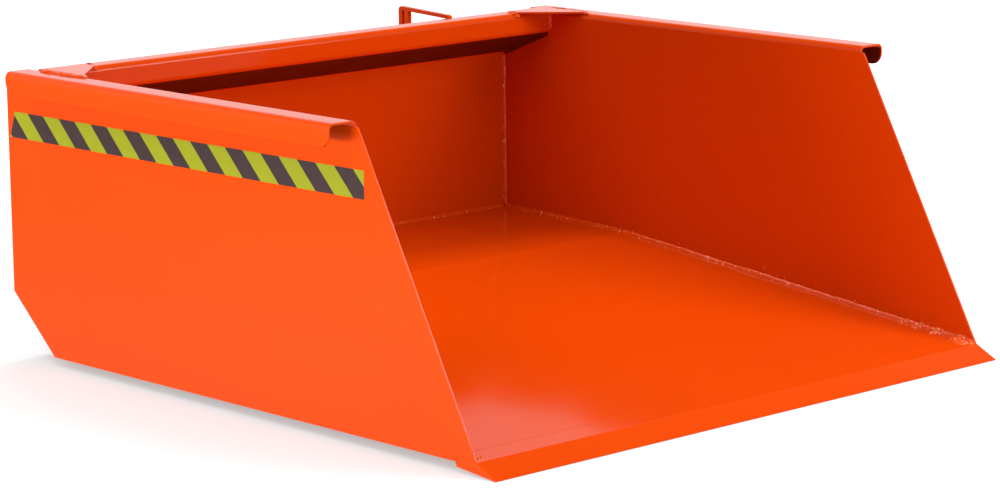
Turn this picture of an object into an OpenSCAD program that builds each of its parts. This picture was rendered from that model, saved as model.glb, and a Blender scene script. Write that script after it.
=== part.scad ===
// Tipping forklift bucket: a folded and welded scoop on a hinged fork carrier, with a release latch.
// Millimetres. X runs across the bucket, the mouth faces -Y, Z = 0 is the ground under the blade.

/* [Scoop] */
// Width over the outer faces of the side plates
bucket_w = 1290; // [1000:10:1600]
// Height of the rim above the ground
rim_h = 569; // [520:1:680]
// Distance from the rear edge of the side plates to the tip of the blade
reach = 1365; // [1250:5:1500]
// Length of the side plates along the rim
rim_len = 1023; // [900:1:1100]
// Thickness of the scoop's sheet
sheet_t = 4; // [3:0.5:5]
// Inner radius of every fold in the sheet
fold_r = 8; // [6:0.5:10]
// Height of the side plates' bottom edge above the ground
side_clear = 18; // [12:1:24]
// Height of the chamfer at the rear bottom corner of a side plate
chamfer_h = 112; // [90:1:130]
// Length of that chamfer along the ground
chamfer_len = 127; // [90:1:150]

/* [Rim] */
// Width of the outward rim on the side plates
rim_w = 59; // [45:1:75]
// Depth of the lip that hangs from the rim
lip_h = 42; // [32:1:50]
// Radius of the lower corners of that lip
lip_r = 24; // [15:1:28]
// Distance of the rim's rear end from the rear edge of the side plates
rim_start = 82; // [70:1:95]
// Drop of the side plate's top corner behind the rim
rear_drop = 46; // [35:1:60]

/* [Rear wall] */
// Depth below the rim at which the rear wall folds forward
roof_drop = 101; // [85:1:120]
// Distance of the folded nose from the rear edge of the side plates
nose_d = 150; // [135:1:170]
// Height of the face of the nose
nose_h = 44; // [36:1:55]
// Depth of the flange on top of the nose
nose_flange = 50; // [40:1:52]

/* [Floor and blade] */
// Distance of the fold across the floor from the rear edge of the side plates
floor_fold = 366; // [300:1:430]
// Height of the floor at that fold
fold_h = 118.9; // [116:0.1:124]
// Rise of the rear floor from the fold to the rear wall
rear_rise = 11; // [6:1:16]
// Thickness of the blade bar
edge_t = 20; // [15:1:22]
// Width of the blade bar
edge_w = 98; // [80:1:120]
// Width of the bevel ground on the blade
bevel_w = 49; // [35:1:60]
// Thickness left at the tip of the blade
tip_t = 1.5; // [1:0.5:3]

/* [Corner gussets] */
// Length of a gusset along the rim
gusset_side = 132; // [100:1:160]
// Length of a gusset along the nose
gusset_nose = 104; // [80:1:130]
// Thickness of a gusset
gusset_t = 4; // [3:0.5:6]
// Overhang of a gusset past the outer face of a side plate
gusset_over = 6; // [2:1:12]
// Distance of a gusset's rear edge from the rear edge of the side plates
gusset_rear = 122; // [115:1:135]

/* [Warning tape] */
// Height of the tape
tape_h = 50; // [40:1:60]
// Thickness of the tape
tape_t = 0.4; // [0.2:0.1:0.6]
// Distance of the tape's top edge below the rim
tape_drop = 88; // [70:1:110]
// Rise of the tape towards the mouth
tape_rise = 4; // [0:1:6]
// Distance of the tape's rear end from the rear edge of the side plates, at its top edge
tape_start = 25; // [15:1:60]
// Slant of the rear end of the tape
tape_slant = 17; // [0:1:20]
// Distance of the tape's front end behind the front edge of the side plate
tape_margin = 40; // [20:1:80]

/* [Fork carrier] */
// Distance between the centres of the fork pockets
pocket_pitch = 680; // [600:5:760]
// Outer width of a fork pocket
pocket_w = 200; // [180:1:220]
// Outer height of a fork pocket
pocket_h = 80; // [75:1:85]
// Wall of a fork pocket
pocket_t = 5; // [4:0.5:8]
// Length that the pockets stand out behind the bucket
carrier_back = 90; // [80:1:120]
// Side of the square tubes between the pockets
tie_side = 60; // [50:1:70]
// Wall of the square tubes
tie_t = 5; // [3:0.5:6]
// Distance of the front tie tube's rear face behind the hinge axis
front_tie_set = 90; // [75:1:130]
// Depth of the support beam under the rear floor
beam_w = 80; // [60:1:100]
// Height of the support beam
beam_h = 30; // [25:1:32]
// Wall of the support beam
beam_t = 4; // [3:0.5:5]
// Distance of the support beam's rear face from the rear edge of the side plates
beam_d = 30; // [20:1:60]
// Length of a rubber rest pad across the beam
pad_l = 70; // [50:1:90]
// Width of a rubber rest pad
pad_w = 50; // [40:1:60]

/* [Tipping hinge] */
// Place of the hinge axis along the front floor, as a share of the way from the fold to the blade's tip
hinge_share = 0.2843; // [0.27:0.001:0.295]
// Height of the hinge axis above the ground
hinge_h = 45; // [42:1:47]
// Diameter of the hinge pins
pin_d = 25; // [20:1:28]
// Running clearance round a pin, on the radius
run_gap = 0.05; // [0.03:0.01:0.08]
// Wall of a hinge bush
bush_wall = 5; // [3:0.5:6]
// Thickness of a hinge ear
ear_t = 12; // [10:1:14]
// Radius of the rounded front of an ear
ear_r = 33; // [30:1:34]
// Length of an ear behind the hinge axis
ear_len = 110; // [90:1:130]
// Thickness of a bucket lug
lug_t = 20; // [16:1:24]
// Radius of the lug round its bush
lug_r = 30; // [28:1:32]
// Play between a lug and its ears
side_gap = 0.8; // [0.5:0.1:1]
// Thickness of the runner ribs under the floor
runner_t = 10; // [8:1:14]
// Distance of a runner rib's front end behind the blade
runner_stop = 79; // [60:1:150]
// Height of a runner rib's lower edge above the ground
runner_clear = 17; // [14:1:20]

/* [Release latch] */
// Sideways place of the latch from the middle of the bucket
latch_x = 410; // [330:1:420]
// Distance of the latch pivot from the rear edge of the side plates
pivot_d = 70; // [64:1:76]
// Height of the latch pivot above the roof
pivot_rise = 26.3; // [24:0.1:28]
// Diameter of the latch pivot pin
pivot_pin_d = 12; // [10:1:14]
// Thickness of the hook plate
hook_t = 10; // [8:1:12]
// Thickness of a pivot ear on the roof
roof_ear_t = 6; // [5:1:8]
// Play between the hook plate and its ears
hook_gap = 0.6; // [0.4:0.1:0.8]
// Distance of the catch bar behind the bucket
catch_d = 50; // [49:1:52]
// Depth of the catch bar below the latch pivot
catch_drop = 100; // [98:1:101]
// Diameter of the catch bar
catch_bar_d = 20; // [16:1:22]
// Width of the bar that the handle is bent from
grip_w = 10; // [8:1:12]
// Thickness of that bar
grip_t = 8; // [7:0.5:8.5]
// Wire of the latch spring
spring_wire = 2.5; // [2:0.1:3]
// Outer diameter of the latch spring
spring_d = 18; // [16:1:20]
// Turns of the latch spring
spring_turns = 4; // [3:1:5]

/* [Latch post] */
// Width of the channel post
post_w = 46; // [42:1:54]
// Depth of the channel post
post_d = 50; // [46:1:52]
// Wall of the channel post
post_t = 8; // [6:1:9]
// Height of the channel post above the catch bar's axis
post_over = 22; // [18:1:30]
// Thickness of the foot plate under the post
foot_t = 10; // [8:1:14]
// Margin of the foot plate round the post
foot_margin = 20; // [12:1:24]

/* [Fork clamps] */
// Diameter of a clamp screw
screw_d = 16; // [14:1:20]
// Length of a clamp screw
screw_l = 62; // [58:1:70]
// Distance of a clamp screw behind the bucket
screw_back = 45; // [35:1:55]
// Width across the flats of a weld nut
nut_af = 30; // [26:1:34]
// Thickness of a weld nut
nut_t = 16; // [12:1:20]
// Diameter of the bar through a clamp screw's head
tommy_d = 8; // [6:1:9]
// Length of that bar
tommy_l = 76; // [60:1:90]

/* [Hidden] */
$fn = 64;
// Cuts run past the faces they open by this much
over = 1;
// Steps along each fold of the sheet
bend_steps = 6;
// Paint and metal colours
paint = [1.0, 0.33, 0.12];
rubber_black = [0.08, 0.08, 0.08];
zinc = [0.72, 0.73, 0.75];
tape_yellow = [0.72, 0.76, 0.2];
// Place of the side plates' rear edge, so that the whole object is centred on Y = 0
rear_y = (reach - carrier_back) / 2;
inner_w = bucket_w - 2 * sheet_t;
half_w = bucket_w / 2;
bend_r = fold_r + sheet_t / 2;
front_run = reach - floor_fold;
// Slope of the front floor and of the blade, which lays the blade's lower edge on the ground at its tip
floor_slope = acos(edge_t / norm([fold_h, front_run])) - atan2(front_run, fold_h);
hinge_d = floor_fold + hinge_share * front_run;
roof_h = rim_h - roof_drop;
rear_floor_h = fold_h + rear_rise;
// Gap left at a welded butt seam
seam = 0.3;
// Sideways place of a point on the blade: a along its slope from the tip, b above its lower face
function blade_point(a, b) = [
    reach - a * cos(floor_slope) + b * sin(floor_slope),
    a * sin(floor_slope) + b * cos(floor_slope)
];
edge_back = blade_point(edge_w + seam, (side_clear - (edge_w + seam) * sin(floor_slope)) / cos(floor_slope));
bevel_back = blade_point(bevel_w, edge_t);
wall_foot = rear_floor_h - sheet_t;
nose_low = rim_h - nose_h;
pocket_x = pocket_pitch / 2;
pocket_out = pocket_x + pocket_w / 2;
pocket_in = pocket_x - pocket_w / 2;
// Distance from the hinge axis back to the front end of the fork pockets
pocket_set = 10;
pocket_front = hinge_d - pocket_set;
lug_x = pocket_out + ear_t + side_gap + lug_t / 2;
ear_out = lug_x + lug_t / 2 + side_gap + ear_t;
bush_r = pin_d / 2 + run_gap;
lug_bore_r = bush_r + bush_wall;
roof_slope = (nose_low - roof_h) / (nose_d - sheet_t);
pivot_h = roof_top(pivot_d) + pivot_rise;
catch_h = pivot_h - catch_drop;
front_tie_d = hinge_d - front_tie_set;

// Height of the floor's upper face at a distance from the rear edge, in front of the fold
function floor_top(d) = edge_t / cos(floor_slope) + tan(floor_slope) * (reach - d);
// Height of the rear floor's upper face, behind the fold
function rear_floor_top(d) = fold_h + rear_rise * (floor_fold - d) / (floor_fold - sheet_t);
// Height of the upper face of the roof over the rear wall's fold
function roof_top(d) = roof_h + roof_slope * (d - sheet_t / 2) + sheet_t / 2 * sqrt(1 + pow(roof_slope, 2));

function unit(v) = v / norm(v);
function left_of(v) = [-v[1], v[0]];
function turned(v, a) = [v[0] * cos(a) - v[1] * sin(a), v[0] * sin(a) + v[1] * cos(a)];
// Signed turn of a path at its point i
function turn_at(p, i) = let (u = p[i] - p[i - 1], w = p[i + 1] - p[i])
    atan2(u[0] * w[1] - u[1] * w[0], u * w);
// One face of a folded sheet: the path's mid line with arcs of radius r, moved to the left by side
function fold_face(p, r, side) = [for (i = [0 : len(p) - 1]) each
    i == 0 ? [p[0] + side * left_of(unit(p[1] - p[0]))] :
    i == len(p) - 1 ? [p[i] + side * left_of(unit(p[i] - p[i - 1]))] :
    let (u = unit(p[i] - p[i - 1]), turn = turn_at(p, i), s = sign(turn),
        centre = p[i] - u * r * tan(abs(turn) / 2) + s * r * left_of(u))
        [for (k = [0 : bend_steps]) centre - s * (r - s * side) * turned(left_of(u), turn * k / bend_steps)]];
function reversed(p) = [for (i = [len(p) - 1 : -1 : 0]) p[i]];

// Cross-section of a sheet of thickness t folded along a path of its mid line
module folded(p, r, t) {
    polygon(concat(fold_face(p, r, t / 2), reversed(fold_face(p, r, -t / 2))));
}

// Extrudes a drawing of (distance forward of the rear edge, height) across X, centred on x
module across(x, w) {
    translate([x - w / 2, rear_y, 0])
        rotate([90, 0, 90])
            linear_extrude(w)
                mirror([1, 0])
                    children();
}

// A cylinder along X, centred on x, at a distance forward of the rear edge and a height
module rod_x(x, d, h, r, w) {
    translate([x - w / 2, rear_y - d, h])
        rotate([0, 90, 0])
            cylinder(r = r, h = w);
}

// Places the children on the left side, or their mirror image on the right one
module on_side(side) {
    if (side > 0)
        mirror([1, 0, 0])
            children();
    else
        children();
}

// Distance forward of a side plate's front edge at a height
function front_edge(h) = rim_len + (bevel_back[0] - rim_len) * (rim_h - h) / (rim_h - bevel_back[1]);

// Outline of a side plate below its rim, as distance forward and height
module side_outline() {
    fold_line = rim_h - sheet_t - fold_r;
    polygon([
        [0, side_clear + chamfer_h],
        [chamfer_len, side_clear],
        [edge_back[0], side_clear],
        blade_point(edge_w + seam, edge_t),
        bevel_back,
        [front_edge(fold_line), fold_line],
        [rim_start, fold_line],
        [0, rim_h - rear_drop]
    ]);
}

// What is cut away below the lip to round its two lower corners
module lip_corners() {
    for (end = [0, 1])
        translate([end == 0 ? rim_start : rim_len, rim_h - lip_h])
            mirror([end, 0])
                difference() {
                    translate([-over, -over])
                        square(lip_r + over);
                    translate([lip_r, lip_r])
                        circle(lip_r);
                }
}

// Left side plate with its rim folded outwards and its lip folded down
module side_plate() {
    mid = half_w - sheet_t / 2;
    fold_line = rim_h - sheet_t - fold_r;
    across(-mid, sheet_t)
        side_outline();
    difference() {
        translate([0, rear_y - rim_start, 0])
            rotate([90, 0, 0])
                linear_extrude(rim_len - rim_start)
                    folded([
                        [-mid, fold_line],
                        [-mid, rim_h - sheet_t / 2],
                        [-half_w - rim_w + sheet_t / 2, rim_h - sheet_t / 2],
                        [-half_w - rim_w + sheet_t / 2, rim_h - lip_h]
                    ], bend_r, sheet_t);
        across(-half_w - rim_w + sheet_t / 2, sheet_t + 2 * over)
            lip_corners();
    }
}

module side_plate_left() color(paint) on_side(-1) side_plate();
module side_plate_right() color(paint) on_side(1) side_plate();

// Rear wall, folded forward into a roof, up into the nose and back into its flange
module rear_wall() color(paint) {
    nose_mid = nose_d - sheet_t / 2;
    across(0, inner_w)
        folded([
            [sheet_t / 2, wall_foot],
            [sheet_t / 2, roof_h],
            [nose_mid, nose_low],
            [nose_mid, rim_h - sheet_t / 2],
            [nose_d - nose_flange, rim_h - sheet_t / 2]
        ], bend_r, sheet_t);
}

// Floor sheet, folded once across the bucket
module floor_sheet() color(paint) {
    mid_drop = sheet_t / 2 / cos(floor_slope);
    across(0, inner_w)
        folded([
            blade_point(edge_w + seam, edge_t - sheet_t / 2),
            [floor_fold, fold_h - mid_drop],
            [sheet_t + seam, rear_floor_h - mid_drop]
        ], bend_r, sheet_t);
}

// Blade: a bar bevelled on top to a thin tip that rests on the ground
module blade() color(paint) {
    across(0, bucket_w)
        translate([reach, 0])
            rotate(180 - floor_slope)
                mirror([0, 1])
                    polygon([[0, 0], [edge_w, 0], [edge_w, edge_t], [bevel_w, edge_t], [0, tip_t]]);
}

// Triangular plate over a rear corner of the rim
module gusset() {
    x_out = -half_w - gusset_over;
    y_rear = rear_y - gusset_rear;
    translate([0, 0, rim_h])
        linear_extrude(gusset_t)
            polygon([
                [x_out, y_rear],
                [x_out, y_rear - gusset_side],
                [x_out + sheet_t, y_rear - gusset_side],
                [x_out + gusset_nose, rear_y - nose_d - sheet_t / 2],
                [x_out + gusset_nose, y_rear]
            ]);
}

module gusset_left() color(paint) on_side(-1) gusset();
module gusset_right() color(paint) on_side(1) gusset();

// Warning tape on the outer face of a side plate
module warning_tape() {
    top = rim_h - tape_drop;
    tape_end = front_edge(top - tape_h / 2) - tape_margin;
    across(-half_w - tape_t / 2, tape_t)
        polygon([
            [tape_start, top],
            [tape_start - tape_slant, top - tape_h],
            [tape_end, top - tape_h + tape_rise],
            [tape_end, top + tape_rise]
        ]);
}

module warning_tape_left() color(tape_yellow) on_side(-1) warning_tape();
module warning_tape_right() color(tape_yellow) on_side(1) warning_tape();

// Height of the floor's lower face in front of the fold
function floor_under(d) = floor_top(d) - sheet_t / cos(floor_slope);

// Rib that carries the floor from the hinge lug towards the blade
module runner_rib() {
    start = hinge_d + lug_r + runner_t;
    end = edge_back[0] - runner_stop;
    across(-lug_x, runner_t)
        polygon([
            [start, runner_clear + lug_r / 2],
            [start, floor_under(start)],
            [end, floor_under(end)],
            [end, floor_under(end) - runner_t],
            [end - runner_t, runner_clear],
            [start + lug_r, runner_clear]
        ]);
}

module runner_rib_left() color(paint) on_side(-1) runner_rib();
module runner_rib_right() color(paint) on_side(1) runner_rib();

// Lug that hangs from the floor between the carrier's ears
module hinge_lug() {
    back = hinge_d - 2 * lug_r;
    front = hinge_d + lug_r + runner_t;
    difference() {
        across(-lug_x, lug_t) {
            translate([hinge_d, hinge_h])
                circle(lug_r);
            polygon([
                [hinge_d - lug_r, hinge_h],
                [hinge_d + lug_r, hinge_h],
                [front, floor_under(front) - runner_t],
                [front, floor_under(front)],
                [back, floor_under(back)],
                [back, floor_under(back) - runner_t]
            ]);
        }
        rod_x(-lug_x, hinge_d, hinge_h, lug_bore_r, lug_t + 2 * over);
    }
}

module hinge_lug_left() color(paint) on_side(-1) hinge_lug();
module hinge_lug_right() color(paint) on_side(1) hinge_lug();

// Bush pressed into a lug
module hinge_bush() {
    difference() {
        rod_x(-lug_x, hinge_d, hinge_h, lug_bore_r, lug_t);
        rod_x(-lug_x, hinge_d, hinge_h, bush_r, lug_t + 2 * over);
    }
}

module hinge_bush_left() color("goldenrod") on_side(-1) hinge_bush();
module hinge_bush_right() color("goldenrod") on_side(1) hinge_bush();

// Rectangular tube along Y between two distances forward of the rear edge
module tube_y(x, w, h, t, back, front) {
    translate([x, rear_y - back, 0])
        rotate([90, 0, 0])
            linear_extrude(front - back)
                difference() {
                    translate([-w / 2, 0])
                        square([w, h]);
                    translate([-w / 2 + t, t])
                        square([w - 2 * t, h - 2 * t]);
                }
}

// Fork pocket, with the hole of its clamp screw in the outer wall
module fork_pocket() {
    difference() {
        tube_y(-pocket_x, pocket_w, pocket_h, pocket_t, -carrier_back, pocket_front);
        rod_x(-pocket_out, -screw_back, pocket_h / 2, screw_d / 2 + run_gap, 2 * pocket_t + 2 * over);
    }
}

module fork_pocket_left() color(paint) on_side(-1) fork_pocket();
module fork_pocket_right() color(paint) on_side(1) fork_pocket();

// Tube across X between two faces, its rear side at a distance forward of the rear edge
module tube_x(x0, x1, d, h0, depth, height, t) {
    across((x0 + x1) / 2, x1 - x0)
        translate([d, h0])
            difference() {
                square([depth, height]);
                translate([t, t])
                    square([depth - 2 * t, height - 2 * t]);
            }
}

tie_h0 = (pocket_h - tie_side) / 2;

module front_tie_tube() color(paint)
    tube_x(-pocket_in, pocket_in, front_tie_d, tie_h0, tie_side, tie_side, tie_t);
module rear_tie_tube() color(paint)
    tube_x(-pocket_in, pocket_in, -carrier_back + tie_h0, tie_h0, tie_side, tie_side, tie_t);
module support_beam() color(paint)
    tube_x(-pocket_out, pocket_out, beam_d, pocket_h, beam_w, beam_h, beam_t);

// Rubber pads on the beam, each with its top along the floor above it
module rest_pads() color(rubber_black) {
    pad_back = beam_d + (beam_w - pad_w) / 2;
    pad_foot = pocket_h + beam_h;
    for (x = [-pocket_x, pocket_x])
        across(x, pad_l)
            polygon([
                [pad_back, pad_foot],
                [pad_back + pad_w, pad_foot],
                [pad_back + pad_w, rear_floor_top(pad_back + pad_w) - sheet_t - seam],
                [pad_back, rear_floor_top(pad_back) - sheet_t - seam]
            ]);
}

// Outline of a hinge ear
module ear_outline() {
    translate([hinge_d, hinge_h])
        circle(ear_r);
    translate([hinge_d - ear_len, hinge_h - ear_r])
        square([ear_len, 2 * ear_r]);
}

// A pair of ears on the outer wall of a fork pocket, with the block that spaces them
module hinge_ears() {
    block = ear_len - ear_r - pin_d;
    difference() {
        for (x = [pocket_out + ear_t / 2, ear_out - ear_t / 2])
            across(-x, ear_t)
                ear_outline();
        rod_x(-lug_x, hinge_d, hinge_h, bush_r, ear_out);
        keeper_hole();
    }
    across(-lug_x, lug_t + 2 * side_gap)
        translate([hinge_d - ear_len, hinge_h - ear_r])
            square([block, 2 * ear_r - ear_t]);
}

module hinge_ears_left() color(paint) on_side(-1) hinge_ears();
module hinge_ears_right() color(paint) on_side(1) hinge_ears();

// Keeper flag of a hinge pin and its bolt
flag_t = 6;
flag_w = 30;
flag_l = 62;
bolt_d = 10;
bolt_head_af = 17;
bolt_head_t = 7;
bolt_reach = flag_l - flag_w;

module keeper_hole() {
    rod_x(-ear_out, hinge_d - bolt_reach, hinge_h, bolt_d / 2 + run_gap, 2 * ear_t - 2 * flag_t);
}

// Hinge pin with the flag that stops it turning
module hinge_pin() {
    rod_x(-(pocket_out + ear_out) / 2, hinge_d, hinge_h, pin_d / 2, ear_out - pocket_out);
    difference() {
        across(-ear_out - flag_t / 2, flag_t)
            union() {
                translate([hinge_d, hinge_h])
                    circle(flag_w / 2);
                translate([hinge_d - bolt_reach, hinge_h])
                    circle(flag_w / 2);
                translate([hinge_d - bolt_reach, hinge_h - flag_w / 2])
                    square([bolt_reach, flag_w]);
            }
        rod_x(-ear_out, hinge_d - bolt_reach, hinge_h, bolt_d / 2 + run_gap, 4 * flag_t);
    }
}

module hinge_pin_left() color(zinc) on_side(-1) hinge_pin();
module hinge_pin_right() color(zinc) on_side(1) hinge_pin();

// Bolts through the keeper flags into the outer ears
module keeper_bolts() color(zinc) {
    for (side = [-1, 1])
        on_side(side) {
            rod_x(-ear_out, hinge_d - bolt_reach, hinge_h, bolt_d / 2, 2 * flag_t);
            translate([-ear_out - flag_t - bolt_head_t, rear_y - hinge_d + bolt_reach, hinge_h])
                rotate([0, 90, 0])
                    cylinder(d = bolt_head_af / cos(30), h = bolt_head_t, $fn = 6);
        }
}

// Post behind the bucket that carries the catch bar
post_front = -catch_d + catch_bar_d / 2;
post_foot_h = pocket_h + foot_t;
catch_hole_r = catch_bar_d / 2 + run_gap;

module latch_post() color(paint) {
    difference() {
        translate([latch_x, rear_y - post_front, post_foot_h])
            linear_extrude(catch_h + post_over - post_foot_h)
                difference() {
                    translate([-post_w / 2, 0])
                        square([post_w, post_d]);
                    translate([-post_w / 2 + post_t, -over])
                        square([post_w - 2 * post_t, post_d - post_t + over]);
                }
        rod_x(latch_x, -catch_d, catch_h, catch_hole_r, post_w + 2 * over);
    }
}

module post_foot() color(paint) {
    foot_x = latch_x - post_w / 2 - foot_margin;
    translate([foot_x, rear_y - post_front - foot_margin, pocket_h])
        cube([pocket_out - foot_x, post_d + foot_margin, foot_t]);
}

module catch_bar() color(zinc)
    rod_x(latch_x, -catch_d, catch_h, catch_bar_d / 2, post_w);

// Hook plate: pivot boss, arm over the rear wall and hook that hangs down behind it
boss_r = 14;
arm_drop = 3.5;
arm_depth = 22.5;
arm_top = pivot_h - arm_drop;
arm_low = arm_top - arm_depth;
arm_back = 76;
hook_front = 17;
hook_depth = 14;
hook_reach = 47;
throat_gap = 11;
throat_h = catch_h - catch_bar_d / 2 - throat_gap;
hook_low = throat_h - hook_depth;
nose_tip = 4;
nose_ramp = 10;

// Height of the arm's lower face at a distance forward of the rear edge
function arm_under(d) = arm_low + (pivot_h - boss_r - arm_low) * (d + hook_front) / (pivot_d + hook_front);

module hook_plate() color(zinc) {
    difference() {
        across(latch_x, hook_t) {
            translate([pivot_d, pivot_h])
                circle(boss_r);
            polygon([
                [pivot_d, pivot_h + boss_r],
                [-hook_front, arm_top],
                [-arm_back, arm_top],
                [-arm_back, arm_top - nose_ramp],
                [-hook_front - hook_depth - nose_ramp, arm_low],
                [-hook_front - hook_depth, arm_low - nose_ramp],
                [-hook_front - hook_depth, throat_h],
                [-hook_reach, throat_h],
                [-hook_reach, throat_h - nose_tip],
                [-hook_reach + nose_ramp, hook_low],
                [-hook_front, hook_low],
                [-hook_front, arm_low],
                [pivot_d, pivot_h - boss_r]
            ]);
        }
        rod_x(latch_x, pivot_d, pivot_h, pivot_pin_d / 2 + run_gap, hook_t + 2 * over);
    }
}

// Handle bent from one bar into an eye: up from the hook plate, forward to a tight tip, back and up again
stem_back = 62.7;
stem_front = 40.7;
grip_rise = 8.5;
grip_back_h = rim_h + grip_rise;
// Where the mid lines of the handle's two limbs would cross, in front of its tight tip
limbs_cross_d = 110.8;
eye_play = 1.6;
eye_gap = 0.5;
eye_low = arm_top + grip_t / 2 + eye_gap;
bend_play = 0.4;

module latch_handle() color(paint) {
    across(latch_x, grip_w)
        folded([
            [-stem_back, arm_top],
            [-stem_back, grip_back_h],
            [limbs_cross_d, rim_h],
            [-stem_front, eye_low],
            [-stem_front, grip_back_h - grip_t / 2 - eye_play]
        ], grip_t / 2 + bend_play, grip_t);
}

// Two ears on the roof that hold the latch pivot
module latch_pivot_ears() color(paint) {
    foot = 24;
    difference() {
        for (side = [-1, 1])
            across(latch_x + side * (hook_t / 2 + hook_gap + roof_ear_t / 2), roof_ear_t) {
                translate([pivot_d, pivot_h])
                    circle(boss_r);
                polygon([
                    [pivot_d - boss_r, pivot_h],
                    [pivot_d + boss_r, pivot_h],
                    [pivot_d + foot, roof_top(pivot_d + foot)],
                    [pivot_d - foot, roof_top(pivot_d - foot)]
                ]);
            }
        rod_x(latch_x, pivot_d, pivot_h, pivot_pin_d / 2 + run_gap, post_w);
    }
}

// Pivot pin with a flat head at each end
pivot_head_share = 0.75;

module latch_pivot_pin() color(zinc) {
    grip = hook_t + 2 * hook_gap + 2 * roof_ear_t;
    rod_x(latch_x, pivot_d, pivot_h, pivot_pin_d / 2, grip);
    for (side = [-1, 1])
        rod_x(latch_x + side * (grip / 2 + roof_ear_t / 4), pivot_d, pivot_h, pivot_pin_d * pivot_head_share, roof_ear_t / 2);
}

// Coil spring between the roof and the arm of the hook plate
spring_at = 22;
seat_h = 6;
spring_foot_h = roof_top(spring_at) + seat_h;
spring_head_h = arm_under(spring_at - spring_d / 2) - seam;
coil_rings = 8;
wire_sides = 6;

function coil_point(s) = let (a = 360 * s, r = (spring_d - spring_wire) / 2)
    [r * cos(a), r * sin(a), spring_wire / 2 + (spring_head_h - spring_foot_h - spring_wire) * s / spring_turns];

module latch_spring() color(zinc) {
    rings = spring_turns * coil_rings;
    points = [for (i = [0 : rings], k = [0 : wire_sides - 1])
        let (s = i / coil_rings, c = coil_point(s), a = 360 * s, b = 360 * k / wire_sides, r = spring_wire / 2)
            c + r * cos(b) * [cos(a), sin(a), 0] + [0, 0, r * sin(b)]];
    sides = [for (i = [0 : rings - 1], k = [0 : wire_sides - 1], half = [0, 1])
        let (n = (k + 1) % wire_sides, p = i * wire_sides, q = p + wire_sides)
            half == 0 ? [p + k, p + n, q + n] : [p + k, q + n, q + k]];
    start_cap = [for (k = [1 : wire_sides - 2]) [0, k + 1, k]];
    end_cap = [for (k = [1 : wire_sides - 2]) rings * wire_sides * [1, 1, 1] + [0, k, k + 1]];
    translate([latch_x, rear_y - spring_at, spring_foot_h])
        polyhedron(points = points, faces = [for (f = concat(sides, start_cap, end_cap)) reversed(f)]);
}

// Round seat on the sloping roof under the spring
module spring_seat() color(paint) {
    r = spring_d / 2;
    intersection() {
        translate([latch_x, rear_y - spring_at, roof_h])
            cylinder(r = r, h = spring_foot_h - roof_h);
        across(latch_x, 2 * spring_d)
            polygon([
                [spring_at - spring_d, roof_top(spring_at - spring_d)],
                [spring_at + spring_d, roof_top(spring_at + spring_d)],
                [spring_at + spring_d, pivot_h],
                [spring_at - spring_d, pivot_h]
            ]);
    }
}

// Weld nuts on the outer walls of the pockets
module clamp_nuts() color(zinc) {
    for (side = [-1, 1])
        on_side(side)
            difference() {
                translate([-pocket_out - nut_t, rear_y + screw_back, pocket_h / 2])
                    rotate([0, 90, 0])
                        cylinder(d = nut_af / cos(30), h = nut_t, $fn = 6);
                rod_x(-pocket_out - nut_t / 2, -screw_back, pocket_h / 2, screw_d / 2 + run_gap, nut_t + 2 * over);
            }
}

// Clamp screw with a round head that is drilled for its bar
screw_head_share = 0.7;
screw_head_l = 17.6;

module clamp_screw() {
    tip_x = -pocket_out + pocket_t;
    difference() {
        union() {
            rod_x(tip_x - screw_l / 2, -screw_back, pocket_h / 2, screw_d / 2, screw_l);
            rod_x(tip_x - screw_l, -screw_back, pocket_h / 2, screw_d * screw_head_share, screw_head_l);
        }
        translate([tip_x - screw_l, rear_y + screw_back, (pocket_h - tommy_l) / 2])
            cylinder(r = tommy_d / 2 + run_gap, h = tommy_l);
    }
}

module clamp_screw_left() color(zinc) on_side(-1) clamp_screw();
module clamp_screw_right() color(zinc) on_side(1) clamp_screw();

// Bar through the head of a clamp screw
module tommy_bar() {
    tip_x = -pocket_out + pocket_t;
    translate([tip_x - screw_l, rear_y + screw_back, (pocket_h - tommy_l) / 2])
        cylinder(d = tommy_d, h = tommy_l);
}

module tommy_bar_left() color(zinc) on_side(-1) tommy_bar();
module tommy_bar_right() color(zinc) on_side(1) tommy_bar();

side_plate_left();
side_plate_right();
rear_wall();
floor_sheet();
blade();
gusset_left();
gusset_right();
warning_tape_left();
warning_tape_right();
runner_rib_left();
runner_rib_right();
hinge_lug_left();
hinge_lug_right();
hinge_bush_left();
hinge_bush_right();
fork_pocket_left();
fork_pocket_right();
front_tie_tube();
rear_tie_tube();
support_beam();
rest_pads();
hinge_ears_left();
hinge_ears_right();
hinge_pin_left();
hinge_pin_right();
keeper_bolts();
latch_post();
post_foot();
catch_bar();
hook_plate();
latch_handle();
latch_pivot_ears();
latch_pivot_pin();
latch_spring();
spring_seat();
clamp_nuts();
clamp_screw_left();
clamp_screw_right();
tommy_bar_left();
tommy_bar_right();
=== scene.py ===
"""Tipping forklift bucket: the visual model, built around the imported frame.

Metres, in the frame's own axes: X across the bucket, the mouth towards -Y, Z up from the ground.
"""

import logging
import math
from dataclasses import dataclass, field
from enum import Enum
from typing import Iterable, Mapping, NamedTuple, Optional, Sequence, Union

import bmesh
import bpy
from mathutils import Matrix, Vector, noise


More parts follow.
